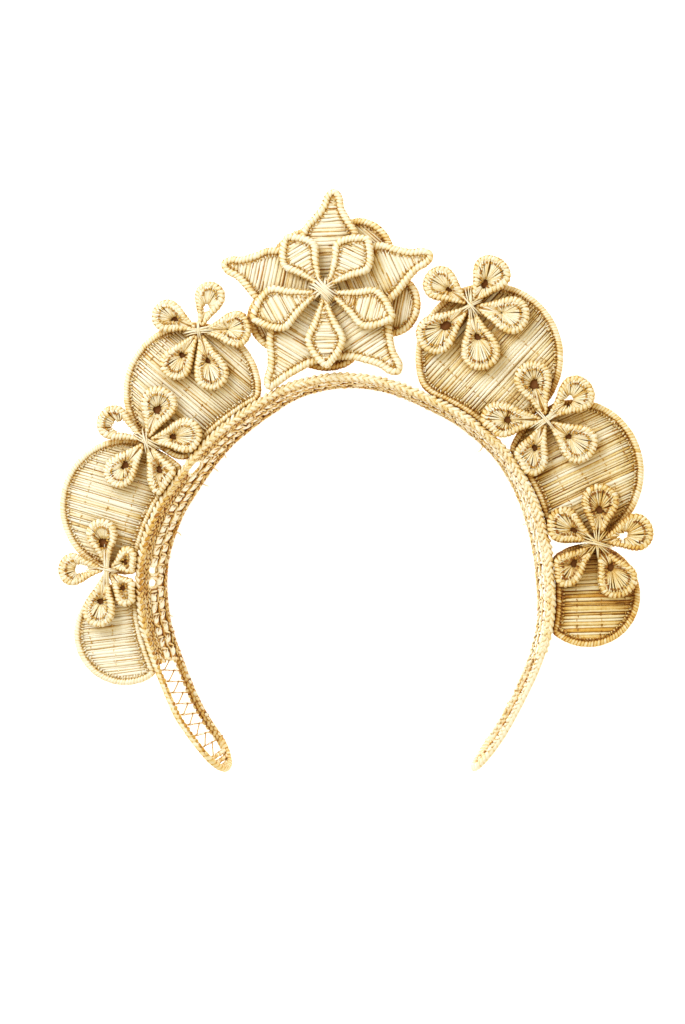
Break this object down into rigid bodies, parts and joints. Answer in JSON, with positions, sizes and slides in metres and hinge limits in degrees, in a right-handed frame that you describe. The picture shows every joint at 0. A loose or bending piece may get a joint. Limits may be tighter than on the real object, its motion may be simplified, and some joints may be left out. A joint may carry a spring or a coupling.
{
  "type": "palm fiber tiara",
  "caption": "Handmade palm fibre tiara: a netted horseshoe headband with round woven discs, small wrapped-cord flowers and a layered star with a flower at its centre.",
  "frame": {"origin": "middle of the bounding box's underside, on the surface that the tiara's back edge rests on", "axes": "+Z out of the tiara's front, +Y from the open ends towards the star, +X to the right seen from the front"},
  "size_m": [0.2262, 0.2234, 0.0358],
  "materials": {
    "palm_wrap": "matt wrapped palm fibre",
    "palm_field": "matt laid palm straw",
    "palm_net": "matt knotted palm fibre",
    "palm_tie": "pale flat palm strand"
  },
  "bodies": {
    "root": {"band_rim": "palm_wrap", "band_net": "palm_net", "disc_left_upper": "palm_field", "disc_left_middle": "palm_field", "disc_left_lower": "palm_field", "disc_right_upper": "palm_field", "disc_right_middle": "palm_field", "disc_right_lower": "palm_field", "flower_left_upper_petal_1": "palm_wrap", "flower_left_upper_petal_2": "palm_wrap", "flower_left_upper_petal_3": "palm_wrap", "flower_left_upper_petal_4": "palm_wrap", "flower_left_upper_petal_5": "palm_wrap", "flower_left_upper_tie": "palm_tie", "flower_left_middle_petal_1": "palm_wrap", "flower_left_middle_petal_2": "palm_wrap", "flower_left_middle_petal_3": "palm_wrap", "flower_left_middle_petal_4": "palm_wrap", "flower_left_middle_petal_5": "palm_wrap", "flower_left_middle_tie": "palm_tie", "flower_left_lower_petal_1": "palm_wrap", "flower_left_lower_petal_2": "palm_wrap", "flower_left_lower_petal_3": "palm_wrap", "flower_left_lower_petal_4": "palm_wrap", "flower_left_lower_petal_5": "palm_wrap", "flower_left_lower_tie": "palm_tie", "flower_right_upper_petal_1": "palm_wrap", "flower_right_upper_petal_2": "palm_wrap", "flower_right_upper_petal_3": "palm_wrap", "flower_right_upper_petal_4": "palm_wrap", "flower_right_upper_petal_5": "palm_wrap", "flower_right_upper_tie": "palm_tie", "flower_right_middle_petal_1": "palm_wrap", "flower_right_middle_petal_2": "palm_wrap", "flower_right_middle_petal_3": "palm_wrap", "flower_right_middle_petal_4": "palm_wrap", "flower_right_middle_petal_5": "palm_wrap", "flower_right_middle_tie": "palm_tie", "flower_right_lower_petal_1": "palm_wrap", "flower_right_lower_petal_2": "palm_wrap", "flower_right_lower_petal_3": "palm_wrap", "flower_right_lower_petal_4": "palm_wrap", "flower_right_lower_petal_5": "palm_wrap", "flower_right_lower_tie": "palm_tie", "back_petal_1": "palm_wrap", "back_petal_2": "palm_wrap", "back_petal_3": "palm_wrap", "back_petal_4": "palm_wrap", "back_petal_5": "palm_wrap", "star": "palm_wrap", "front_petal_1": "palm_wrap", "front_petal_2": "palm_wrap", "front_petal_3": "palm_wrap", "front_petal_4": "palm_wrap", "front_petal_5": "palm_wrap", "centre_tie": "palm_tie"}
  },
  "joints": []
}
